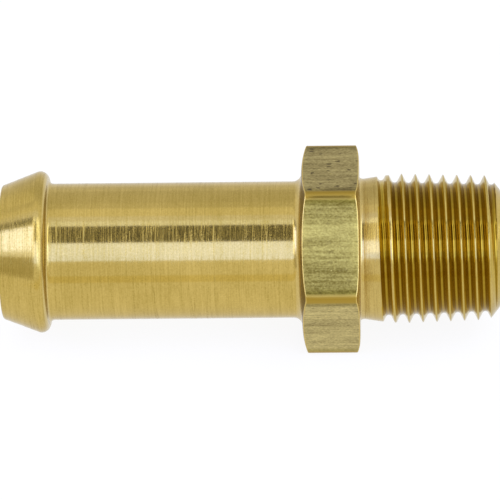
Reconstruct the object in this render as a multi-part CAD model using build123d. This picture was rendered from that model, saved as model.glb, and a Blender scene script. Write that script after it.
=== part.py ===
from build123d import *
import os
from math import atan, cos, degrees, radians, sin, sqrt, tan

# Hose fitting turned in one piece from hexagonal brass bar: a beaded hose tail, a wrench
# hexagon and a tapered pipe thread on one axis, bored right through.
# Sizes are in millimetres, angles in degrees.
# The outline is drawn upright on the turned axis and laid along +X at the end: the hose end
# at -X, the thread at +X, one flat of the hexagon down. The origin is on the axis, in the
# face of the hexagon on the thread side.

# Bar stock
across_flats = 12.0
bar_corner_radius = 0.62

# Wrench hexagon. Each face has a flat ring outside its fillet, which takes a share of the way
# out to the bar's corners, and then falls away in an arc, by a share of the arc's own width.
hex_length = 3.8
tail_shoulder_fillet = 0.58
tail_face_ring_share = 0.027
tail_face_drop_share = 0.196
thread_shoulder_fillet = 0.2
thread_face_ring_share = 0.518
thread_face_drop_share = 0.215

# Hose tail: a coned nose runs up to a bead that holds the hose behind its steep back
tail_length = 19.75
shank_diameter = 9.0
bead_diameter = 10.65
bead_length = 3.08
bead_round = 0.56
bead_foot_fillet = 0.18
nose_cone_angle = 20.9
nose_edge_round = 0.2

# Bore
bore_diameter = 6.0
bore_mouth_chamfer = 0.3

# Tapered pipe thread, right-handed, 28 turns to the inch. The gauge diameter is measured over
# the crests at the gauge plane, and the gauge length is from the end to that plane.
thread_length = 9.3
gauge_diameter = 9.728
gauge_length = 4.6
taper_on_diameter = 1 / 16
thread_pitch = 25.4 / 28
thread_angle = 55.0
crest_flat_share = 0.06
root_radius_share = 0.23
thread_end_diameter = 7.5
lead_chamfer_angle = 52.0

# Plain collar between the hexagon and the thread, the slope from it up to the crests, and
# the run-out, where the groove climbs out of the metal towards the hexagon
collar_diameter = 9.4
collar_length = 1.5
collar_slope_length = 1.2
full_depth_start = 2.0
run_out_length = 1.0
groove_start_angle = 292.0

# Clearances of the cutting shapes. The groove's flanks go on above the crests by a share of
# the crest's flat, so that neighbouring turns never meet, and then stand upright.
flank_overrun_share = 0.25
cutter_overrun = 0.35
end_overrun_turns = 0.7
run_out_overrun = 1.25
rim_overrun = 0.1
bar_overrun = 1.0

# Places along the axis and radii that follow from the sizes above
tip_z = -(hex_length + tail_length)
bead_back_z = tip_z + bead_length
gauge_z = thread_length - gauge_length
taper_on_radius = taper_on_diameter / 2
bar_corner_reach = (across_flats / 2 - bar_corner_radius) / cos(radians(30)) + bar_corner_radius
rim_radius = bar_corner_reach + rim_overrun
half_angle = radians(thread_angle / 2)
crest_flat = crest_flat_share * thread_pitch
root_radius = root_radius_share * thread_pitch
root_above_vee = root_radius / sin(half_angle) - root_radius
thread_depth = (thread_pitch - crest_flat) / (2 * tan(half_angle)) - root_above_vee


def crest_radius(z):
    # the taper over the crests
    return gauge_diameter / 2 + (gauge_z - z) * taper_on_radius


def root_line_radius(z):
    return crest_radius(z) - thread_depth


def nose_corners():
    # The cone touches the bead's round. Its line goes on to the plane of the bead's back, and
    # the round is a fillet there.
    slope = radians(nose_cone_angle)
    touch_z = bead_back_z - bead_round - bead_round * sin(slope)
    touch_r = bead_diameter / 2 - bead_round + bead_round * cos(slope)
    tip_corner = (touch_r - (touch_z - tip_z) * tan(slope), tip_z)
    bead_corner = (touch_r + (bead_back_z - touch_z) * tan(slope), bead_back_z)
    return tip_corner, bead_corner


def ring_radius(foot_radius, ring_share):
    # where the flat ring of a hexagon face ends, outside its fillet
    return foot_radius + ring_share * (bar_corner_reach - foot_radius)


def face_fall(face_radius, drop_share):
    # How far a hexagon face has fallen at the blank's rim, on the arc that has its share of a
    # drop at the bar's corners
    corner_step = bar_corner_reach - face_radius
    rim_step = rim_radius - face_radius
    arc_radius = corner_step * (1 + drop_share ** 2) / (2 * drop_share)
    return arc_radius - sqrt(arc_radius ** 2 - rim_step ** 2)


def lead_chamfer_z():
    # where the lead chamfer meets the taper over the crests
    steep = tan(radians(lead_chamfer_angle))
    radius_gain = gauge_diameter / 2 - thread_end_diameter / 2
    return (thread_length * steep - gauge_z * taper_on_radius - radius_gain) / (steep - taper_on_radius)


def round_corners(face, corners):
    for point, radius in corners:
        corner = face.vertices().sort_by_distance((point[0], point[1], 0))[0]
        face = fillet(corner, radius)
    return face


def turned_outline():
    # Half section of the turned form as (radius, distance along the axis)
    bore_r = bore_diameter / 2
    mouth_r = bore_r + bore_mouth_chamfer
    shank_r = shank_diameter / 2
    collar_r = collar_diameter / 2
    tip_corner, bead_corner = nose_corners()
    bead_foot = (shank_r, bead_back_z)
    tail_foot = (shank_r, -hex_length)
    thread_foot = (collar_r, 0)
    slope_end = collar_length + collar_slope_length
    chamfer_z = lead_chamfer_z()
    tail_face_r = ring_radius(shank_r + tail_shoulder_fillet, tail_face_ring_share)
    thread_face_r = ring_radius(collar_r + thread_shoulder_fillet, thread_face_ring_share)
    tail_edge = (tail_face_r, -hex_length)
    tail_rim = (rim_radius, face_fall(tail_face_r, tail_face_drop_share) - hex_length)
    thread_edge = (thread_face_r, 0)
    thread_rim = (rim_radius, -face_fall(thread_face_r, thread_face_drop_share))
    tail_side = Polyline((bore_r, tip_z + bore_mouth_chamfer), (mouth_r, tip_z), tip_corner, bead_corner,
                         bead_foot, tail_foot, tail_edge)
    tail_crown = TangentArc(tail_edge, tail_rim, tangent=(1, 0))
    rim = Line(tail_rim, thread_rim)
    thread_crown = TangentArc(thread_edge, thread_rim, tangent=(1, 0))
    thread_side = Polyline(thread_edge, thread_foot, (collar_r, collar_length),
                           (crest_radius(slope_end), slope_end), (crest_radius(chamfer_z), chamfer_z),
                           (thread_end_diameter / 2, thread_length), (mouth_r, thread_length),
                           (bore_r, thread_length - bore_mouth_chamfer),
                           (bore_r, tip_z + bore_mouth_chamfer))
    face = make_face(tail_side + tail_crown + rim + thread_crown + thread_side)
    return round_corners(face, [
        (tip_corner, nose_edge_round),
        (bead_corner, bead_round),
        (bead_foot, bead_foot_fillet),
        (tail_foot, tail_shoulder_fillet),
        (thread_foot, thread_shoulder_fillet),
    ])


def bar_stock():
    # the hexagonal bar, longer than the fitting, with rounded corners and a flat towards -Y
    section = RegularPolygon(radius=across_flats / 2, side_count=6, major_radius=False)
    section = fillet(section.vertices(), bar_corner_radius)
    length = thread_length - tip_z + 2 * bar_overrun
    return Pos(0, 0, tip_z - bar_overrun) * extrude(section, amount=length)


def groove_section():
    # Cutter for one groove, its root at the drawing's origin and its depth along x: a round
    # root, two flanks at the thread angle, and upright sides clear of the crests
    top = thread_depth + flank_overrun_share * crest_flat / (2 * tan(half_angle))
    half_width = (top + root_above_vee) * tan(half_angle)
    outer = top + cutter_overrun
    touch_x = root_radius * (1 - sin(half_angle))
    touch_y = root_radius * cos(half_angle)
    sides = Polyline((touch_x, touch_y), (top, half_width), (outer, half_width), (outer, -half_width),
                     (top, -half_width), (touch_x, -touch_y))
    root = ThreePointArc((touch_x, -touch_y), (0, 0), (touch_x, touch_y))
    return make_face(sides + root)


def groove_cutter(height, cone_angle, turn):
    # The cutter swept along a conical helix from the place where the groove has its full depth.
    # The helix's pitch is along the cone's side, so it is lengthened to keep the axial pitch.
    start_radius = root_line_radius(full_depth_start)
    path = turn * Helix(pitch=thread_pitch / cos(radians(cone_angle)), height=height,
                        radius=start_radius, cone_angle=cone_angle)
    section = Plane.XZ * Pos(start_radius, 0) * groove_section()
    return Pos(0, 0, full_depth_start) * sweep(section, path=path, is_frenet=True)


def thread_cutter():
    # the thread itself, from its full depth to past the end of the fitting
    height = thread_length + end_overrun_turns * thread_pitch - full_depth_start
    return groove_cutter(height, -degrees(atan(taper_on_radius)), Rot(0, 0, 0))


def run_out_cutter():
    # The run-out goes on from the same section towards the hexagon, and its cone brings the
    # root up to the collar's surface within the run-out's length. Half a turn about X makes a
    # helix that climbs into one that descends, with the same hand.
    rise = collar_diameter / 2 - root_line_radius(full_depth_start)
    height = run_out_overrun * run_out_length
    return groove_cutter(height, degrees(atan(rise / run_out_length)), Rot(180, 0, 0))


def fitting_body():
    # turned from the bar, then threaded, then laid along +X with the bar's -Y flat facing down
    turned = revolve(Plane.XZ * turned_outline(), Axis.Z)
    blank = turned & bar_stock()
    to_start = Rot(0, 0, groove_start_angle)
    threaded = blank - to_start * thread_cutter() - to_start * run_out_cutter()
    return Plane.YZ * threaded


os.makedirs("parts", exist_ok=True)
export_step(fitting_body(), "parts/fitting_body.step")
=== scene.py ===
import bpy
from math import atan, ceil, cos, floor, hypot, pi, radians, sin, sqrt, tan
from mathutils import Matrix, Vector


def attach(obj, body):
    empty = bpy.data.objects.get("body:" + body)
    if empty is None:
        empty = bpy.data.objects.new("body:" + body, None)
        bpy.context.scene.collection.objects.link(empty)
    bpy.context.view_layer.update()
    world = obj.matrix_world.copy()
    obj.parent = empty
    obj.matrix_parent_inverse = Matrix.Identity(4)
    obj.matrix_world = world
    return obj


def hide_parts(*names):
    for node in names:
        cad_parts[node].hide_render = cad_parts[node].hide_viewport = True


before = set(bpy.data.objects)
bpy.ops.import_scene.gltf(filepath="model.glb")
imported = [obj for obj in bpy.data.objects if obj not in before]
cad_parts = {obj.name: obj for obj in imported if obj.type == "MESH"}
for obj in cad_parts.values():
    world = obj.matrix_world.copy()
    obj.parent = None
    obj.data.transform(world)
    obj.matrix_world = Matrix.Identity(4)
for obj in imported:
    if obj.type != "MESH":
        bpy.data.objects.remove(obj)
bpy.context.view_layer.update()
print("frame loaded")

mm = 0.001

# The fitting, in mm and degrees, as in the part's source, apart from the values that say
# so. It lies along X: hose end at -X, thread at +X, origin on the axis in the hexagon's face on
# the thread side. Radii are measured from the axis.
fitting = {
    "acrossFlats": 12.0,
    "barCornerRadius": 0.62,
    "hexLength": 3.8,
    "tailShoulderFillet": 0.58,
    "tailRingShare": 0.027,
    "tailDropShare": 0.196,
    "threadShoulderFillet": 0.2,
    "threadRingShare": 0.518,
    "threadDropShare": 0.215,
    "tailLength": 19.75,
    "shankRadius": 4.5,
    "beadRadius": 5.325,
    "beadLength": 3.08,
    "beadRound": 0.56,
    "beadFootFillet": 0.3,     # larger than the solid's
    "noseConeAngle": 20.9,
    "noseEdgeRound": 0.2,
    "boreRadius": 3.0,
    "boreMouthChamfer": 0.3,
    "threadLength": 9.3,
    "gaugeRadius": 4.864,
    "gaugeX": 4.7,
    "taperOnRadius": 1 / 32,
    "threadPitch": 25.4 / 28,
    "threadAngle": 55.0,
    "crestFlatShare": 0.06,
    "rootRadiusShare": 0.23,
    "threadEndRadius": 3.75,
    "leadChamferAngle": 52.0,
    "collarRadius": 4.7,
    "collarLength": 1.5,
    "collarCone": 8.5,         # the collar widens towards the thread; the solid's is straight
    "collarSlopeLength": 1.2,
    "fullDepthStart": 1.685,   # a third of a turn before the solid's, on the same helix
    "runOutLength": 0.62,      # shorter than the solid's
    "grooveStartAngle": 167.0,
    "edgeBreak": 0.07,         # round on the hexagon's turned edges, where the solid's are sharp
    # where the finishes, and the painted light on some of them, change
    "beadWidth": 0.9,          # the bead's finish starts this far before the plane of its back
    "backBefore": 0.2,         # the back's painted highlight goes from here, before that plane, to here, behind it
    "backAfter": 0.12,         # to here, behind it
    "shoulderWidth": 0.35,     # faced finish, with its painted reflection, beside the hexagon
    "cutDepth": 0.012,         # from this depth under the blank a face is part of the groove
    # faces of the mesh
    "boreSteps": 8,            # along the bore
    "flatColumns": 42,         # across one flat of the hexagon
    "cornerColumns": 8,        # across one rounded corner
    "crownSteps": 6,           # from the flat ring out to the hexagon's edge
    "edgeSteps": 3,            # round a broken edge
    "sideSteps": 4,            # along a flat of the hexagon
    "footSteps": 5,            # round the fillet on the thread side
    "bandStart": 0.3,          # x where the rows that follow the thread start
    "rootSteps": 3,            # from the groove's middle to its wall
    "wallSteps": 5,            # up one wall of the groove
    "shortest": 0.012,         # rows end this far before the rings at their ends
    "chamferStep": 0.03,       # length of the faces on the lead chamfer
    "sharpAngle": 34.0,        # edges steeper than this stay sharp
}

# Lengths that follow from the ones above
pitch = fitting["threadPitch"]
halfAngle = radians(fitting["threadAngle"] / 2)
crestFlat = fitting["crestFlatShare"] * pitch
rootRadius = fitting["rootRadiusShare"] * pitch
rootAboveVee = rootRadius / sin(halfAngle) - rootRadius
threadDepth = (pitch - crestFlat) / (2 * tan(halfAngle)) - rootAboveVee
tailX = -fitting["hexLength"]
tipX = tailX - fitting["tailLength"]
beadBackX = tipX + fitting["beadLength"]
apothem = fitting["acrossFlats"] / 2
cornerCentre = (apothem - fitting["barCornerRadius"]) / cos(pi / 6)
cornerReach = cornerCentre + fitting["barCornerRadius"]
flatHalfTurn = atan((apothem - fitting["barCornerRadius"]) * tan(pi / 6) / apothem)
tailFoot = fitting["shankRadius"] + fitting["tailShoulderFillet"]
tailRing = tailFoot + fitting["tailRingShare"] * (cornerReach - tailFoot)
threadFoot = fitting["collarRadius"] + fitting["threadShoulderFillet"]
threadRing = threadFoot + fitting["threadRingShare"] * (cornerReach - threadFoot)
grooveStart = fitting["fullDepthStart"] - pitch * fitting["grooveStartAngle"] / 360


def crestRadius(x):
    return fitting["gaugeRadius"] + (fitting["gaugeX"] - x) * fitting["taperOnRadius"]


def chamferStartX():
    # where the lead chamfer meets the taper over the crests
    steep = tan(radians(fitting["leadChamferAngle"]))
    gain = fitting["gaugeRadius"] - fitting["threadEndRadius"]
    taper = fitting["taperOnRadius"]
    return (fitting["threadLength"] * steep - fitting["gaugeX"] * taper - gain) / (steep - taper)


def blankRadius(x):
    # the turned blank from the collar to the end, before the thread is cut
    slopeStart = fitting["collarLength"]
    slopeEnd = slopeStart + fitting["collarSlopeLength"]
    cone = tan(radians(fitting["collarCone"]))
    if x <= slopeStart:
        return fitting["collarRadius"] + cone * (x - slopeStart / 2)
    if x < slopeEnd:
        share = (x - slopeStart) / fitting["collarSlopeLength"]
        startRadius = fitting["collarRadius"] + cone * slopeStart / 2
        return startRadius + share * (crestRadius(slopeEnd) - startRadius)
    steep = tan(radians(fitting["leadChamferAngle"]))
    chamfer = fitting["threadEndRadius"] + (fitting["threadLength"] - x) * steep
    return min(crestRadius(x), chamfer)


def grooveHeight(offset):
    # height of the groove's wall above its root, at a distance along the axis from its middle
    offset = abs(offset)
    if offset < rootRadius * cos(halfAngle):
        return rootRadius - sqrt(rootRadius ** 2 - offset ** 2)
    return offset / tan(halfAngle) - rootAboveVee


def threadRadius(x, turn):
    # The cut thread at one place, turn being the angle from +Y towards +Z in turns. The groove
    # has its full depth from its start on, and rises out of the metal towards the hexagon.
    turns = (x - grooveStart) / pitch - turn
    offset = (turns - floor(turns + 0.5)) * pitch
    rootAtStart = crestRadius(fitting["fullDepthStart"]) - threadDepth
    rise = (fitting["collarRadius"] - rootAtStart) / fitting["runOutLength"]
    rise -= fitting["taperOnRadius"]
    before = max(0.0, fitting["fullDepthStart"] - (x - offset))
    groove = crestRadius(x) - threadDepth + rise * before + grooveHeight(offset)
    return min(blankRadius(x), groove)


def hexReach(angle):
    # from the axis to the bar's surface
    step = (angle - pi / 6) % (pi / 3)
    step = min(step, pi / 3 - step)
    if step <= flatHalfTurn:
        return apothem / cos(step)
    side = pi / 6 - step
    radius = fitting["barCornerRadius"]
    return cornerCentre * cos(side) + sqrt(radius ** 2 - (cornerCentre * sin(side)) ** 2)


def columnAngles():
    # angles of the mesh's columns, closer together on the rounded corners of the hexagon
    angles = []
    for side in range(6):
        middle = pi / 6 + side * pi / 3
        for i in range(fitting["flatColumns"]):
            angles.append(middle - flatHalfTurn + 2 * flatHalfTurn * i / fitting["flatColumns"])
        cornerTurn = pi / 3 - 2 * flatHalfTurn
        for i in range(fitting["cornerColumns"]):
            angles.append(middle + flatHalfTurn + cornerTurn * i / fitting["cornerColumns"])
    return angles


def crownFall(radius, ring, dropShare):
    # how far a face of the hexagon has fallen away at this radius
    arcRadius = (cornerReach - ring) * (1 + dropShare ** 2) / (2 * dropShare)
    return arcRadius - sqrt(arcRadius ** 2 - max(0.0, radius - ring) ** 2)


def roundedCorner(before, corner, after, radius, steps):
    # points of the arc that rounds one corner of an outline
    toBefore = Vector(before) - Vector(corner)
    toAfter = Vector(after) - Vector(corner)
    toBefore.normalize()
    toAfter.normalize()
    half = toBefore.angle(toAfter) / 2
    centre = Vector(corner) + (toBefore + toAfter).normalized() * (radius / sin(half))
    first = Vector(corner) + toBefore * (radius / tan(half)) - centre
    last = Vector(corner) + toAfter * (radius / tan(half)) - centre
    sweep = first.angle(last)
    points = []
    for i in range(steps + 1):
        share = i / steps
        arm = (first * sin((1 - share) * sweep) + last * sin(share * sweep)) / sin(sweep)
        points.append(tuple(centre + arm))
    return points


def outlinePoints(corners):
    # corners are (x, radius, round, steps); with a round of 0, steps divides the line to the next
    points = []
    for i, (x, r, rounding, steps) in enumerate(corners):
        nextX, nextR = corners[min(i + 1, len(corners) - 1)][:2]
        if rounding:
            points += roundedCorner(points[-1], (x, r), (nextX, nextR), rounding, steps)
        else:
            for k in range(steps):
                points.append((x + (nextX - x) * k / steps, r + (nextR - r) * k / steps))
    return points


def tailCorners():
    # nose, bead and shank, from the bore's end on the thread side round to the hexagon
    slope = radians(fitting["noseConeAngle"])
    roundR = fitting["beadRound"]
    touchX = beadBackX - roundR - roundR * sin(slope)
    touchR = fitting["beadRadius"] - roundR + roundR * cos(slope)
    noseR = touchR - (touchX - tipX) * tan(slope)
    beadR = touchR + (beadBackX - touchX) * tan(slope)
    bore = fitting["boreRadius"]
    mouth = fitting["boreMouthChamfer"]
    return [
        (fitting["threadLength"] - mouth, bore, 0, fitting["boreSteps"]),
        (tipX + mouth, bore, 0, 1),
        (tipX, bore + mouth, 0, 2),
        (tipX, noseR, fitting["noseEdgeRound"], 6),
        (beadBackX, beadR, fitting["beadRound"], 12),
        (beadBackX, fitting["shankRadius"], fitting["beadFootFillet"], 5),
        (tailX, fitting["shankRadius"], fitting["tailShoulderFillet"], 8),
        (tailX, tailRing, 0, 1),
    ]


def fittingMesh():
    # One closed skin. Rings run round the axis in the same columns everywhere, and the thread
    # is a band of rows that wind round with it, so that its crests and roots are clean lines.
    angles = columnAngles()
    count = len(angles)
    verts = []
    faces = []
    kinds = []

    def addVert(x, r, angle):
        verts.append((x * mm, r * cos(angle) * mm, r * sin(angle) * mm))
        return len(verts) - 1

    def addRing(place):
        # place gives (x, radius) for an angle
        return [addVert(*place(a), a) for a in angles]

    def joinRings(low, high, kind):
        for c in range(count):
            n = (c + 1) % count
            faces.append((low[c], low[n], high[n], high[c]))
            kinds.append(kind(faces[-1]) if callable(kind) else kind)

    def fixedRing(point):
        return addRing(lambda a: point)

    edge = fitting["edgeBreak"]

    def tailCrown(share):
        def place(a):
            r = tailRing + (hexReach(a) - edge - tailRing) * share
            return tailX + crownFall(r, tailRing, fitting["tailDropShare"]), r
        return place

    def threadCrown(share):
        def place(a):
            r = threadRing + (hexReach(a) - edge - threadRing) * share
            return -crownFall(r, threadRing, fitting["threadDropShare"]), r
        return place

    def tailEdge(turn):
        # round between the crown on the hose side and the flats
        def place(a):
            r, x = hexReach(a) - edge, tailCrown(1)(a)[0]
            return x + edge * (1 - cos(turn)), r + edge * sin(turn)
        return place

    def threadEdge(turn):
        def place(a):
            r, x = hexReach(a) - edge, threadCrown(1)(a)[0]
            return x - edge * (1 - cos(turn)), r + edge * sin(turn)
        return place

    def hexSide(share):
        def place(a):
            left, right = tailEdge(pi / 2)(a)[0], threadEdge(pi / 2)(a)[0]
            return left + (right - left) * share, hexReach(a)
        return place

    # bore, nose, bead and shank
    tail = outlinePoints(tailCorners())
    rings = [fixedRing(p) for p in tail]
    backX = beadBackX - fitting["backBefore"]
    for i in range(len(rings) - 1):
        kind = "turned"
        middle = (tail[i][0] + tail[i + 1][0]) / 2
        if i < fitting["boreSteps"]:
            kind = "bore"
        elif beadBackX - fitting["beadWidth"] < middle < backX:
            kind = "bead"
        elif backX < middle < beadBackX + fitting["backAfter"]:
            kind = "back"
        elif middle > tailX - fitting["shoulderWidth"]:
            kind = "faced"
        joinRings(rings[i], rings[i + 1], kind)
    firstRing, last = rings[0], rings[-1]

    # hexagon
    crownSteps = fitting["crownSteps"]
    edgeSteps = fitting["edgeSteps"]
    sideSteps = fitting["sideSteps"]
    for k in range(1, crownSteps + 1):
        ring = addRing(tailCrown(k / crownSteps))
        joinRings(last, ring, "parted")
        last = ring
    for k in range(1, edgeSteps + 1):
        ring = addRing(tailEdge(k / edgeSteps * pi / 2))
        joinRings(last, ring, "edge")
        last = ring
    for k in range(1, sideSteps + 1):
        ring = addRing(hexSide(k / sideSteps))
        joinRings(last, ring, "flat")
        last = ring
    for k in range(edgeSteps - 1, -1, -1):
        ring = addRing(threadEdge(k / edgeSteps * pi / 2))
        joinRings(last, ring, "edge")
        last = ring
    for k in range(crownSteps - 1, -1, -1):
        ring = addRing(threadCrown(k / crownSteps))
        joinRings(last, ring, "faced")
        last = ring
    bandStart = fitting["bandStart"]
    collarR = blankRadius(bandStart)
    foot = roundedCorner((0, threadRing), (0, collarR), (1, collarR),
                         fitting["threadShoulderFillet"], fitting["footSteps"])
    for point in foot + [(bandStart, collarR)]:
        ring = fixedRing(point)
        joinRings(last, ring, "faced")
        last = ring

    # thread: rows at these distances from the groove's middle, which follow its helix
    bandEnd = chamferStartX()
    rootSteps = fitting["rootSteps"]
    wallSteps = fitting["wallSteps"]
    rootTurn = pi / 2 - halfAngle
    offsets = [rootRadius * sin(rootTurn * k / rootSteps) for k in range(-rootSteps, rootSteps + 1)]
    wallFoot = rootRadius * cos(halfAngle)
    wallWidth = (pitch - crestFlat) / 2 - wallFoot
    for k in range(1, wallSteps + 1):
        offsets.append(wallFoot + wallWidth * k / wallSteps)
    offsets.append(pitch / 2)
    for k in range(wallSteps, 0, -1):
        offsets.append(pitch - wallFoot - wallWidth * k / wallSteps)
    perTurn = len(offsets)
    endRing = addRing(lambda a: (bandEnd, threadRadius(bandEnd, a / (2 * pi))))
    firstX = bandStart + fitting["shortest"]
    lastX = bandEnd - fitting["shortest"]
    known = {}

    def threadVert(row, column):
        if column == count:
            row, column = row + perTurn, 0
        turn = angles[column] / (2 * pi)
        x = grooveStart + pitch * (row // perTurn + turn) + offsets[row % perTurn]
        if x < firstX:
            return last[column]
        if x > lastX:
            return endRing[column]
        if (row, column) not in known:
            known[(row, column)] = addVert(x, threadRadius(x, turn), angles[column])
        return known[(row, column)]

    def threadKind(face):
        # a face is part of the groove where its middle lies below the turned blank
        x = sum(verts[v][0] for v in face) / len(face) / mm
        r = sum(hypot(verts[v][1], verts[v][2]) for v in face) / len(face) / mm
        if blankRadius(x) - r > fitting["cutDepth"]:
            return "groove"
        slopeEnd = fitting["collarLength"] + fitting["collarSlopeLength"]
        return "collar" if x < slopeEnd else "turned"

    # whole turns of rows, from one before the band's start to one behind its end
    lowRow = floor((bandStart - grooveStart) / pitch - 2) * perTurn
    highRow = ceil((bandEnd - grooveStart) / pitch + 1) * perTurn
    for row in range(lowRow, highRow):
        for c in range(count):
            corners = [threadVert(row, c), threadVert(row, c + 1),
                       threadVert(row + 1, c + 1), threadVert(row + 1, c)]
            face = [v for i, v in enumerate(corners) if v != corners[i - 1]]
            if len(set(face)) > 2:
                faces.append(tuple(face))
                kinds.append(threadKind(face))
    last = endRing

    # lead chamfer with the thread running out over it, end face and bore mouth
    steps = ceil((fitting["threadLength"] - bandEnd) / fitting["chamferStep"])
    for k in range(1, steps + 1):
        x = bandEnd + (fitting["threadLength"] - bandEnd) * k / steps
        ring = addRing(lambda a: (x, threadRadius(x, a / (2 * pi))))
        joinRings(last, ring, threadKind)
        last = ring
    mouthRadius = fitting["boreRadius"] + fitting["boreMouthChamfer"]
    ring = fixedRing((fitting["threadLength"], mouthRadius))
    joinRings(last, ring, "turned")
    joinRings(ring, firstRing, "turned")
    return verts, faces, kinds


def addNode(tree, kind, settings=None, links=None):
    # settings are inputs or properties by name, or inputs by number; links are sockets to join
    node = tree.nodes.new(kind)
    for name, value in (settings or {}).items():
        if isinstance(name, int) or name in node.inputs:
            node.inputs[name].default_value = value
        else:
            setattr(node, name, value)
    for name, source in (links or {}).items():
        tree.links.new(source, node.inputs[name])
    return node


def hexColour(code):
    # sRGB hex to linear colour
    channels = [int(code[i:i + 2], 16) / 255 for i in (1, 3, 5)]
    return [c / 12.92 if c <= 0.04045 else ((c + 0.055) / 1.055) ** 2.4 for c in channels] + [1.0]


def newMaterial(name):
    material = bpy.data.materials.new(name)
    material.use_nodes = True
    material.node_tree.nodes.clear()
    return material, material.node_tree


def partPlace(tree):
    # the object's own coordinates in mm, with the distance from the axis
    coords = addNode(tree, "ShaderNodeTexCoord")
    scaled = addNode(tree, "ShaderNodeMapping", {"Scale": (1 / mm,) * 3},
                     {"Vector": coords.outputs["Object"]})
    split = addNode(tree, "ShaderNodeSeparateXYZ", links={0: scaled.outputs[0]})
    across = addNode(tree, "ShaderNodeCombineXYZ", links={1: split.outputs[1], 2: split.outputs[2]})
    radius = addNode(tree, "ShaderNodeVectorMath", {"operation": "LENGTH"}, {0: across.outputs[0]})
    return scaled.outputs[0], split.outputs, radius.outputs["Value"]


# Brass, turned on a lathe: a bright gold metal with fine tool lines that run round it, so its
# reflections are sharp round the axis and drawn out along it.
turnedBrass = {
    "colour": "#d1b668",
    "dull": "#b39a4c",
    "anisotropic": 0.8,
    "roughSmooth": 0.15,
    "roughLine": 0.46,
    "slantTint": "#ededed",   # brass mirrors a little less than a perfect metal at a slant
    "feedMark": 0.075,        # mm, tool feed: coarser than the real 0.05, so that it shows
    "toolLine": 0.2,          # mm, wider lines that the tool left now and then
    "lineGroup": 1.6,         # mm between groups of deeper lines
    "lineDepth": 0.008,       # mm
    "grain": 0.12,            # mm, specks in the turned skin
    "stain": 4.0,             # mm
    "roundDrift": 0.06,       # how far the lines change round the part; 1 gives specks
    "groupSpan": (0.4, 0.6, 0.4, 1.0),   # noise from, to, and the share of lines there
    "markSpan": (0.52, 0.8),  # noise at which a line starts and is at its roughest
    # how much each pattern counts for: feed, tool and grain in the roughness, stain, tool, feed
    # and grain in the colour, feed and tool in the relief
    "markParts": (1.0, 1.0, 0.5),
    "toneParts": (1.1, 1.2, 0.7, 1.1),
    "reliefParts": (0.5, 1.2),
}

# Brass thread, cut with a die, which leaves its walls smooth. They mirror each other, so the
# groove looks deep gold. Painted shade darkens its root on both sides of the middle line, and
# that line less; a painted highlight gives the crest a paler band. Heights are in mm, from the
# root up and from the crest down.
threadBrass = dict(turnedBrass, colour="#c9ac44", dull="#b29736", roughSmooth=0.1, roughLine=0.22,
                   anisotropic=0.2, lineDepth=0.002, slantTint="#f1f1f1",
                   rootPaintedShade="#b9ab78", rootTop=0.1, rootLine=0.012, rootLinePaintedShade="#d6cdb6",
                   crestPaintedHighlight="#bba455", crestBand=0.1, crestRound=0.04)

# Brass faced off square: the shoulders catch light off the parts beside them, and their paler
# colour is a painted reflection of it.
facedBrassPaintedReflection = dict(turnedBrass, colour="#d3ba74", dull="#bfa660", roughSmooth=0.2, roughLine=0.35,
                  anisotropic=0.5, lineDepth=0.003)

# Brass collar and bead, turned with a coarser feed: reflections are spread wider along them.
collarBrass = dict(turnedBrass, colour="#cdb46b", dull="#b59c56", roughSmooth=0.18, roughLine=0.4)
beadBrass = dict(turnedBrass, roughSmooth=0.23, roughLine=0.4)

# Brass behind the bead: it mostly mirrors the shank and hexagon, and its paler colour is a painted
# highlight.
backBrassPaintedHighlight = dict(facedBrassPaintedReflection, colour="#d8c17c", dull="#c2ab67")

# Brass face towards the hose, duller and browner than the others.
partedBrass = dict(facedBrassPaintedReflection, colour="#8a7238", dull="#775f2c", roughSmooth=0.3, roughLine=0.45)


def mixTone(tree, parts):
    # sum of noises around their middle, each by its weight, around 0.5
    total = None
    for source, weight in parts:
        offset = 0.5 * (1 - weight) if total is None else -0.5 * weight
        term = addNode(tree, "ShaderNodeMath", {"operation": "MULTIPLY_ADD", 1: weight, 2: offset},
                       {0: source}).outputs[0]
        if total is not None:
            term = addNode(tree, "ShaderNodeMath", {"operation": "ADD"},
                           {0: total, 1: term}).outputs[0]
        total = term
    return total


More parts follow.
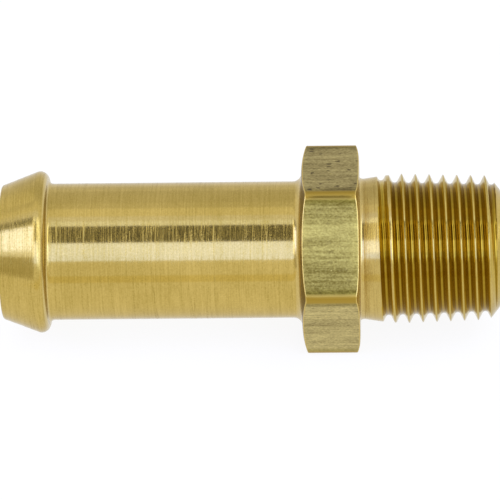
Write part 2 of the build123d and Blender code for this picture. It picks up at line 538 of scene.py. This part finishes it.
def turnedMaterial(name, look):
    material, tree = newMaterial(name)
    place, axes, radius = partPlace(tree)
    # across the lines the pattern is fine, and round the part it drifts slowly
    drift = look["roundDrift"]
    stretch = addNode(tree, "ShaderNodeMapping", {"Scale": (1.0, drift, drift)}, {"Vector": place})
    ringPlace = addNode(tree, "ShaderNodeCombineXYZ", links={0: axes[0], 1: radius})
    ringPlace = addNode(tree, "ShaderNodeVectorMath", {"operation": "ADD"},
                        {0: ringPlace.outputs[0], 1: stretch.outputs[0]})

    def lines(width, detail):
        return addNode(tree, "ShaderNodeTexNoise", {"Scale": 1 / width, "Detail": detail},
                       {"Vector": ringPlace.outputs[0]}).outputs[0]

    def specks(width, detail):
        return addNode(tree, "ShaderNodeTexNoise", {"Scale": 1 / width, "Detail": detail},
                       {"Vector": place}).outputs[0]

    def mixed(sources, parts):
        return mixTone(tree, list(zip(sources, look[parts])))

    feed = lines(look["feedMark"], 2.0)
    tool = lines(look["toolLine"], 3.0)
    groups = lines(look["lineGroup"], 2.0)
    grain = specks(look["grain"], 2.0)
    stain = specks(look["stain"], 4.0)
    deep = addNode(tree, "ShaderNodeMapRange", dict(enumerate(look["groupSpan"], 1)), {0: groups})
    marks = addNode(tree, "ShaderNodeMapRange", dict(enumerate(look["markSpan"], 1)),
                    {0: mixed([feed, tool, grain], "markParts")})
    marks = addNode(tree, "ShaderNodeMath", {"operation": "MULTIPLY"},
                    {0: deep.outputs[0], 1: marks.outputs[0]})
    rough = addNode(tree, "ShaderNodeMapRange", {3: look["roughSmooth"], 4: look["roughLine"]},
                    {0: marks.outputs[0]}).outputs[0]
    tone = mixed([stain, tool, feed, grain], "toneParts")
    colour = addNode(tree, "ShaderNodeMix", {"data_type": "RGBA", 6: hexColour(look["colour"]),
                                             7: hexColour(look["dull"])}, {0: tone}).outputs[2]
    if "rootPaintedShade" in look:
        # Painted shade darkens the rounded bottom of the groove on both sides of its middle line,
        # and that line less; a painted highlight gives the crest a paler band. Heights are taken at
        # x = 0, along the taper.
        height = addNode(tree, "ShaderNodeMath",
                         {"operation": "MULTIPLY_ADD", 1: fitting["taperOnRadius"]},
                         {0: axes[0], 2: radius}).outputs[0]
        crest = crestRadius(0)
        root = crest - threadDepth
        lineTop = look["rootLine"]
        rootTop = look["rootTop"]
        band = look["crestBand"]
        onLine = addNode(tree, "ShaderNodeMapRange",
                         {1: root + 0.3 * lineTop, 2: root + lineTop, 3: 1.0, 4: 0.0},
                         {0: height}).outputs[0]
        belowWall = addNode(tree, "ShaderNodeMapRange",
                            {1: root + 0.5 * rootTop, 2: root + rootTop, 3: 1.0, 4: 0.0},
                            {0: height}).outputs[0]
        aboveLine = addNode(tree, "ShaderNodeMath", {"operation": "SUBTRACT", 0: 1.0}, {1: onLine})
        inRoot = addNode(tree, "ShaderNodeMath", {"operation": "MULTIPLY"},
                         {0: aboveLine.outputs[0], 1: belowWall}).outputs[0]
        onCrest = addNode(tree, "ShaderNodeMapRange", {1: crest - band, 2: crest - 0.5 * band},
                          {0: height}).outputs[0]
        besideCrest = addNode(tree, "ShaderNodeMapRange", {1: crest - band, 2: crest},
                              {0: height}).outputs[0]
        for share, shade, blend in [(onCrest, "crestPaintedHighlight", "MIX"),
                                    (inRoot, "rootPaintedShade", "MULTIPLY"),
                                    (onLine, "rootLinePaintedShade", "MULTIPLY")]:
            settings = {"data_type": "RGBA", "blend_type": blend, 7: hexColour(look[shade])}
            colour = addNode(tree, "ShaderNodeMix", settings, {0: share, 6: colour}).outputs[2]
    relief = mixed([feed, tool], "reliefParts")
    bump = addNode(tree, "ShaderNodeBump", {"Strength": 1.0, "Distance": look["lineDepth"] * mm},
                   {"Height": relief})
    if "crestRound" in look:
        # the crest's edges are slightly rounded, so they catch the light in a wider line
        drop = addNode(tree, "ShaderNodeMath", {"operation": "POWER", 1: 2.0}, {0: besideCrest})
        bump = addNode(tree, "ShaderNodeBump",
                       {"Strength": 1.0, "Distance": look["crestRound"] * mm, "invert": True},
                       {"Height": drop.outputs[0], "Normal": bump.outputs[0]})
    tangent = addNode(tree, "ShaderNodeTangent", {"direction_type": "RADIAL", "axis": "X"})
    shader = addNode(tree, "ShaderNodeBsdfPrincipled",
                     {"Metallic": 1.0, "Specular Tint": hexColour(look["slantTint"]),
                      "Anisotropic": look["anisotropic"], "Anisotropic Rotation": 0.25},
                     {"Base Color": colour, "Roughness": rough, "Normal": bump.outputs[0],
                      "Tangent": tangent.outputs[0]})
    addNode(tree, "ShaderNodeOutputMaterial", links={0: shader.outputs[0]})
    return material


# Brass bar, drawn through a die and left as it came: a dull, slightly greenish skin with
# streaks along the bar, grain, and small nicks from handling. Light and shade are painted on it
# too: shade on the near flat and beside the corners, a highlight band along the near flat, and
# light on the lower flat.
drawnBrass = {
    "light": "#d0bf7e",
    "dark": "#7d6d3a",
    "nick": "#5c4c24",
    "speck": "#b4a254",
    "corner": "#a78b3a",
    "paintedCornerShade": "#d6d3b4",  # painted shade that multiplies the skin beside the corners
    "paintedNearFlatShade": "#e5e2b0",     # painted shade that dulls the near flat, multiplying its skin
    "rough": 0.42,
    "cornerRough": 0.3,
    # patterns: mm across the bar, and along it
    "streak": (0.16, 4.0),
    "band": (1.1, 9.0),        # wide, faint bands
    "grain": (0.11, 0.154),
    "blot": (0.4, 0.7),
    "ragged": (0.12, 0.2),     # edge of the nicks
    "streakDepth": 0.004,      # mm
    # how much each counts for: streaks, bands, grain, blots, painted highlight band and painted
    # light on the lower flat in the colour, streaks and grain in the relief
    "toneParts": (1.1, 0.6, 1.2, 0.5, 1.0, 1.0),
    "reliefParts": (1.0, 0.6),
    # spots: mm from one to the next, share of places left without, reach from their middle
    "nicks": (0.42, 0.55, 0.34),
    "specks": (0.252, 0.93, 0.2),
    "nicksElsewhere": 0.25,    # share of the nicks off the upper flat
    "paintedHighlightAt": (0, -5.1, 3.17),         # mm, a painted highlight band along the near flat, lighter towards its middle
    "paintedHighlightSpan": (0.5, 2.6, 0.62, 0.37),    # mm from its middle, and the tone there
    "lowerFlatPaintedLight": (0.5, 0.71),  # off and on the lower flat, which painted light makes brighter
    "skin": (0.1, 0.02),       # mm under a flat, from where and to where its own tone comes in
    "besideCorner": (0.3, 0.15),     # mm inside the bar's corners, the same for the painted shade there
    "atCorner": (0.12, 0.05),        # and for the corner itself
}


def drawnMaterial(name, look):
    material, tree = newMaterial(name)
    place, axes, radius = partPlace(tree)

    def noise(pattern, detail):
        across, along = look[pattern]
        scale = (1 / along, 1 / across, 1 / across)
        stretch = addNode(tree, "ShaderNodeMapping", {"Scale": scale}, {"Vector": place})
        return addNode(tree, "ShaderNodeTexNoise", {"Scale": 1.0, "Detail": detail},
                       {"Vector": stretch.outputs[0]}).outputs[0]

    streaks = noise("streak", 3.0)
    bands = noise("band", 1.0)
    grain = noise("grain", 2.0)
    blots = noise("blot", 3.0)
    ragged = noise("ragged", 2.0)

    def spots(size, rarity, reach):
        # 1 on scattered small spots, longer along the bar, with a ragged edge
        longer = addNode(tree, "ShaderNodeMapping", {"Scale": (0.7, 1.0, 1.0)}, {"Vector": place})
        cells = addNode(tree, "ShaderNodeTexVoronoi", {"Scale": 1 / size},
                        {"Vector": longer.outputs[0]})
        pick = addNode(tree, "ShaderNodeSeparateColor", links={0: cells.outputs["Color"]})
        chosen = addNode(tree, "ShaderNodeMapRange", {1: rarity, 2: rarity + 0.02},
                         {0: pick.outputs[0]}).outputs[0]
        off = addNode(tree, "ShaderNodeMath", {"operation": "MULTIPLY_ADD", 1: 2 * reach},
                      {0: ragged, 2: cells.outputs["Distance"]}).outputs[0]
        inside = addNode(tree, "ShaderNodeMapRange",
                         {1: 1.5 * reach, 2: 2 * reach, 3: 1.0, 4: 0.0}, {0: off}).outputs[0]
        return addNode(tree, "ShaderNodeMath", {"operation": "MULTIPLY"},
                       {0: chosen, 1: inside}).outputs[0]

    def comingIn(source, top, depths, before, after):
        # from one value to the other over two depths below the top
        settings = {1: top - depths[0], 2: top - depths[1], 3: before, 4: after}
        return addNode(tree, "ShaderNodeMapRange", settings, {0: source}).outputs[0]

    def onFlat(angle, before, after):
        # before off one flat and after on it, the flat's middle being at this angle from +Y
        middle = (0, cos(radians(angle)), sin(radians(angle)))
        towards = addNode(tree, "ShaderNodeVectorMath", {"operation": "DOT_PRODUCT", 1: middle},
                          {0: place})
        return comingIn(towards.outputs["Value"], apothem, look["skin"], before, after)

    # painted highlight: a band along the near flat, lighter towards its middle
    across = addNode(tree, "ShaderNodeCombineXYZ", links={1: axes[1], 2: axes[2]})
    fromPaintedHighlight = addNode(tree, "ShaderNodeVectorMath",
                         {"operation": "DISTANCE", 1: look["paintedHighlightAt"]}, {0: across.outputs[0]})
    paintedHighlightBand = addNode(tree, "ShaderNodeMapRange", dict(enumerate(look["paintedHighlightSpan"], 1)),
                     {0: fromPaintedHighlight.outputs["Value"]}).outputs[0]
    # painted light: the lower flat is made brighter
    onLower = onFlat(210, *look["lowerFlatPaintedLight"])
    sources = [streaks, bands, grain, blots, paintedHighlightBand, onLower]
    tone = mixTone(tree, list(zip(sources, look["toneParts"])))
    colour = addNode(tree, "ShaderNodeMix", {"data_type": "RGBA", 6: hexColour(look["dark"]),
                                             7: hexColour(look["light"])}, {0: tone}).outputs[2]
    upward = onFlat(90, look["nicksElsewhere"], 1.0)
    nicks = addNode(tree, "ShaderNodeMath", {"operation": "MULTIPLY"},
                    {0: spots(*look["nicks"]), 1: upward}).outputs[0]
    specks = spots(*look["specks"])
    # painted shade comes in just inside the bar's corners, and the corners' own colour at them
    besideCorner = comingIn(radius, cornerReach, look["besideCorner"], 0.0, 1.0)
    atCorner = comingIn(radius, cornerReach, look["atCorner"], 0.0, 1.0)
    # one tone over the other: painted shade on the near flat, nicks, specks, painted shade beside
    # the bar's corners, and the corners' own colour
    for share, shade, blend in [(onFlat(150, 0.0, 1.0), "paintedNearFlatShade", "MULTIPLY"),
                                (nicks, "nick", "MIX"), (specks, "speck", "MIX"),
                                (besideCorner, "paintedCornerShade", "MULTIPLY"),
                                (atCorner, "corner", "MIX")]:
        settings = {"data_type": "RGBA", "blend_type": blend, 7: hexColour(look[shade])}
        colour = addNode(tree, "ShaderNodeMix", settings, {0: share, 6: colour}).outputs[2]
    rough = addNode(tree, "ShaderNodeMapRange", {3: look["rough"], 4: look["cornerRough"]},
                    {0: atCorner}).outputs[0]
    relief = mixTone(tree, list(zip([streaks, grain], look["reliefParts"])))
    bump = addNode(tree, "ShaderNodeBump", {"Strength": 1.0, "Distance": look["streakDepth"] * mm},
                   {"Height": relief})
    shader = addNode(tree, "ShaderNodeBsdfPrincipled", {"Metallic": 1.0},
                     {"Base Color": colour, "Roughness": rough, "Normal": bump.outputs[0]})
    addNode(tree, "ShaderNodeOutputMaterial", links={0: shader.outputs[0]})
    return material


# Brass, drilled: the bore's wall is darker and rougher than the turned outside.
drilledBrass = dict(turnedBrass, colour="#9c8138", dull="#8a702e", roughSmooth=0.32, roughLine=0.5,
                    anisotropic=0.4, lineDepth=0.003, feedMark=0.15)

# Brass edges, broken with a file: a thin bright line.
brokenEdge = dict(turnedBrass, colour="#d8be6c", dull="#bba052", roughSmooth=0.2, roughLine=0.3,
                  anisotropic=0.2)


def buildFitting():
    verts, faces, kinds = fittingMesh()
    mesh = bpy.data.meshes.new("fittingBody")
    mesh.from_pydata(verts, [], faces)
    materials = {
        "turned": turnedMaterial("turned brass", turnedBrass),
        "faced": turnedMaterial("faced brass shoulder, painted reflection", facedBrassPaintedReflection),
        "collar": turnedMaterial("coarsely turned brass collar", collarBrass),
        "bead": turnedMaterial("coarsely turned brass bead", beadBrass),
        "back": turnedMaterial("brass behind the bead, painted highlight", backBrassPaintedHighlight),
        "parted": turnedMaterial("parted brass face", partedBrass),
        "groove": turnedMaterial("cut brass thread", threadBrass),
        "flat": drawnMaterial("drawn brass bar", drawnBrass),
        "edge": turnedMaterial("broken brass edge", brokenEdge),
        "bore": turnedMaterial("drilled brass", drilledBrass),
    }
    order = list(materials)
    for material in materials.values():
        mesh.materials.append(material)
    mesh.polygons.foreach_set("material_index", [order.index(kind) for kind in kinds])
    mesh.polygons.foreach_set("use_smooth", [True] * len(faces))
    mesh.validate()
    mesh.update()
    mesh.set_sharp_from_angle(angle=radians(fitting["sharpAngle"]))
    piece = bpy.data.objects.new("fittingBody", mesh)
    bpy.context.scene.collection.objects.link(piece)
    weigh = piece.modifiers.new("weightedNormals", "WEIGHTED_NORMAL")
    weigh.keep_sharp = True
    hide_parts("fitting_body")
    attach(piece, "root")
    print("fitting built:", len(verts), "points,", len(faces), "faces")


# Studio: a white floor and surround, and lamps and cards round the part, which its metal mirrors
# as bright and dark bands. Their heights are angles about the part's axis in degrees, from the
# horizontal towards the camera (0), over the top (90), to the horizontal behind (180).
studio = {
    "floorZ": -6.0,            # mm
    "floorSize": 3.0,          # m
    "floorGlow": 0.9,          # how much plain white the camera sees over the floor's shadow
    "floorColour": "#ffffff",
    "surround": 1.0,           # brightness that the camera and the metal see
    "fill": 1.05,              # brightness that lights matt surfaces
    "distance": 0.7,           # m from the part to lamps and cards
    "cardLift": 0.05,          # mm, by which paper on the floor lies over it
    # paper on the floor, in mm: nearest and farthest before the axis, the ends of its near edge
    # and the ends of its far edge
    "floorCards": [
        ("floorCard", 17.0, 32.0, (-32.0, 20.0), (-32.0, 20.0), "#f7f1d2"),
        ("noseFloorCard", 25.0, 450.0, (-62.0, -35.0), (-740.0, -260.0), "#cdc9b4"),
    ],
    # each lamp: lowest and highest angle, angle towards the thread end and half its width, radiance
    "lamps": [
        ("frontLamp", 12.0, 43.2, 8.0, 38.0, (0.38, 0.64, 2.4)),
        ("threadLampLeft", 21.6, 81.6, -27.0, 9.0, (0.9, 0.85, 0.5)),
        ("threadLampRight", 21.6, 81.6, 27.0, 9.0, (0.9, 0.85, 0.5)),
        ("noseLamp", 36.6, 72.6, -45.0, 15.0, (0.95, 1.28, 3.9)),
        ("noseLampLow", 28.6, 36.6, -45.0, 15.0, (0.55, 0.75, 2.2)),
        ("noseLampLowest", 20.6, 28.6, -45.0, 15.0, (0.25, 0.35, 1.0)),
        ("noseLampHigh", 77.6, 97.6, -45.0, 15.0, (0.0, 0.03, 0.25)),
        ("beadLamp", 3.6, 77.6, 37.0, 18.0, (0.8, 1.0, 1.6)),
        ("topLamp", 71.6, 80.6, 0.0, 40.0, (0.12, 0.2, 0.5)),
        ("highLamp", 71.6, 89.6, 0.0, 40.0, (0.01, 0.06, 0.4)),
        ("rightLamp", 166.6, 183.6, 72.0, 9.0, (0.8, 0.8, 0.8)),
    ],
    # each card: the same angles, and its colour
    "cards": [
        ("darkCard", 43.2, 71.6, -1.0, 10.5, "#504f46"),
        ("leftDarkCard", 74.6, 87.6, -45.0, 15.0, "#989892"),
        ("noseCard", -18.4, 18.6, -45.0, 15.0, "#d0cdbd"),
        ("paleCardLow", 105.6, 115.6, 0.0, 42.0, "#e8e8e8"),
        ("greyCard", 115.6, 151.6, 8.0, 36.0, "#e0e0e0"),
        ("paleCardHigh", 151.6, 169.6, 0.0, 42.0, "#efefef"),
    ],
}


def lookBack(angle, side):
    # from the part towards a lamp or card: angle about the axis, side towards the thread end
    out = cos(radians(side))
    return Vector((sin(radians(side)), -cos(radians(angle)) * out, sin(radians(angle)) * out))


def standing(angle, side):
    # the place of a lamp or card that faces the part, its X along the part
    back = lookBack(angle, side)
    along = lookBack(angle, side + 90)
    turned = Matrix((along, back.cross(along), back)).transposed().to_4x4()
    return Matrix.Translation(back * studio["distance"]) @ turned


def halfSize(low, high, side, spread):
    reach = studio["distance"]
    return reach * tan(radians(spread)), reach * tan(radians(high - low) / 2) * cos(radians(side))


def buildLamp(name, low, high, side, spread, radiance):
    wide, half = halfSize(low, high, side, spread)
    light = bpy.data.lights.new(name, "AREA")
    light.shape = "RECTANGLE"
    light.size = 2 * wide
    light.size_y = 2 * half
    brightest = max(radiance)
    light.color = [c / brightest for c in radiance]
    light.energy = brightest * pi * light.size * light.size_y
    lamp = bpy.data.objects.new(name, light)
    lamp.matrix_world = standing((low + high) / 2, side)
    lamp.visible_camera = False
    bpy.context.scene.collection.objects.link(lamp)


def buildCard(name, low, high, side, spread, colour):
    wide, half = halfSize(low, high, side, spread)
    corners = [(-wide, -half, 0), (wide, -half, 0), (wide, half, 0), (-wide, half, 0)]
    card = addCard(name, corners, colour)
    card.matrix_world = standing((low + high) / 2, side)


def addCard(name, corners, colour):
    mesh = bpy.data.meshes.new(name)
    mesh.from_pydata(corners, [], [(0, 1, 2, 3)])
    material, tree = newMaterial(name)
    glow = addNode(tree, "ShaderNodeEmission", {"Color": hexColour(colour), "Strength": 1.0})
    addNode(tree, "ShaderNodeOutputMaterial", links={0: glow.outputs[0]})
    mesh.materials.append(material)
    card = bpy.data.objects.new(name, mesh)
    card.visible_camera = False
    card.visible_diffuse = False
    card.visible_shadow = False
    bpy.context.scene.collection.objects.link(card)
    return card


def buildFloorCard(name, near, far, nearEnds, farEnds, colour):
    # a strip of paper on the floor before the part, which only the metal sees
    z = studio["floorZ"] + studio["cardLift"]
    corners = [(farEnds[0], -far, z), (farEnds[1], -far, z),
               (nearEnds[1], -near, z), (nearEnds[0], -near, z)]
    addCard(name, [tuple(mm * value for value in corner) for corner in corners], colour)


def seenDirectly(tree, rays):
    # 1 for rays from the camera, off metal or through glass, and 0 for the light that they catch
    either = addNode(tree, "ShaderNodeMath", {"operation": "MAXIMUM"},
                     {0: rays["Is Camera Ray"], 1: rays["Is Glossy Ray"]})
    return addNode(tree, "ShaderNodeMath", {"operation": "MAXIMUM"},
                   {0: either.outputs[0], 1: rays["Is Transmission Ray"]}).outputs[0]


def buildStudio():
    world = bpy.data.worlds.new("surround")
    world.use_nodes = True
    tree = world.node_tree
    tree.nodes.clear()
    direct = seenDirectly(tree, addNode(tree, "ShaderNodeLightPath").outputs)
    strength = addNode(tree, "ShaderNodeMapRange", {3: studio["fill"], 4: studio["surround"]},
                       {0: direct}).outputs[0]
    sky = addNode(tree, "ShaderNodeBackground", {"Color": (1, 1, 1, 1)}, {"Strength": strength})
    addNode(tree, "ShaderNodeOutputWorld", links={0: sky.outputs[0]})
    bpy.context.scene.world = world

    half = studio["floorSize"] / 2
    z = studio["floorZ"] * mm
    mesh = bpy.data.meshes.new("floor")
    corners = [(-half, -half, z), (half, -half, z), (half, half, z), (-half, half, z)]
    mesh.from_pydata(corners, [], [(0, 1, 2, 3)])
    material, tree = newMaterial("white paper")
    rays = addNode(tree, "ShaderNodeLightPath").outputs
    direct = seenDirectly(tree, rays)
    paper = addNode(tree, "ShaderNodeBsdfDiffuse", {"Color": hexColour(studio["floorColour"])})
    white = addNode(tree, "ShaderNodeEmission", {"Color": (1, 1, 1, 1), "Strength": 1.0})
    # the camera sees mostly plain white with the shadow showing through; metal sees plain white
    forCamera = addNode(tree, "ShaderNodeMapRange", {3: 1.0, 4: studio["floorGlow"]},
                        {0: rays["Is Camera Ray"]})
    share = addNode(tree, "ShaderNodeMath", {"operation": "MULTIPLY"},
                    {0: direct, 1: forCamera.outputs[0]})
    mixed = addNode(tree, "ShaderNodeMixShader",
                    links={0: share.outputs[0], 1: paper.outputs[0], 2: white.outputs[0]})
    addNode(tree, "ShaderNodeOutputMaterial", links={0: mixed.outputs[0]})
    mesh.materials.append(material)
    floorPiece = bpy.data.objects.new("floor", mesh)
    bpy.context.scene.collection.objects.link(floorPiece)
    for lamp in studio["lamps"]:
        buildLamp(*lamp)
    for card in studio["cards"]:
        buildCard(*card)
    for card in studio["floorCards"]:
        buildFloorCard(*card)
    print("studio built")


# Camera, from the photograph: 500 px across, 15.17 px to the mm at the part's axis
view = {
    "elevation": 28.8,         # degrees over the horizontal
    "distance": 306.5,         # mm
    "pixelsPerMm": 15.17,
    "imageSize": 500,
    "footX": 2.64,             # mm, where the camera stands straight before the axis
    "aimX": -7.2445,           # mm, the part's place in the middle of the picture
    "aimBelow": 0.008,         # mm, the picture's middle lies this far under the axis
    "roll": 0.54,              # degrees, the thread end stands higher
    "sensorWidth": 36.0,       # mm
    "clip": (0.01, 20.0),      # m, nearest and farthest that the camera sees
}


def buildCamera():
    rise = radians(view["elevation"])
    position = Vector((view["footX"], -view["distance"] * cos(rise), view["distance"] * sin(rise)))
    aim = Vector((view["aimX"], -view["aimBelow"] * sin(rise), -view["aimBelow"] * cos(rise)))
    forward = (aim - position).normalized()
    along = Vector((1, 0, 0))
    right = (along - forward * along.dot(forward)).normalized()
    up = right.cross(forward)
    roll = radians(view["roll"])
    rolledRight = right * cos(roll) - up * sin(roll)
    rolledUp = up * cos(roll) + right * sin(roll)
    turned = Matrix((rolledRight, rolledUp, -forward)).transposed().to_4x4()
    lens = bpy.data.cameras.new("camera")
    lens.sensor_width = view["sensorWidth"]
    lens.lens = view["sensorWidth"] * view["pixelsPerMm"] * view["distance"] / view["imageSize"]
    lens.clip_start, lens.clip_end = view["clip"]
    camera = bpy.data.objects.new("camera", lens)
    camera.matrix_world = Matrix.Translation(position * mm) @ turned
    bpy.context.scene.collection.objects.link(camera)
    bpy.context.scene.camera = camera
    print("camera placed")


buildCamera()
buildFitting()
buildStudio()
bpy.context.scene.view_settings.view_transform = "Standard"
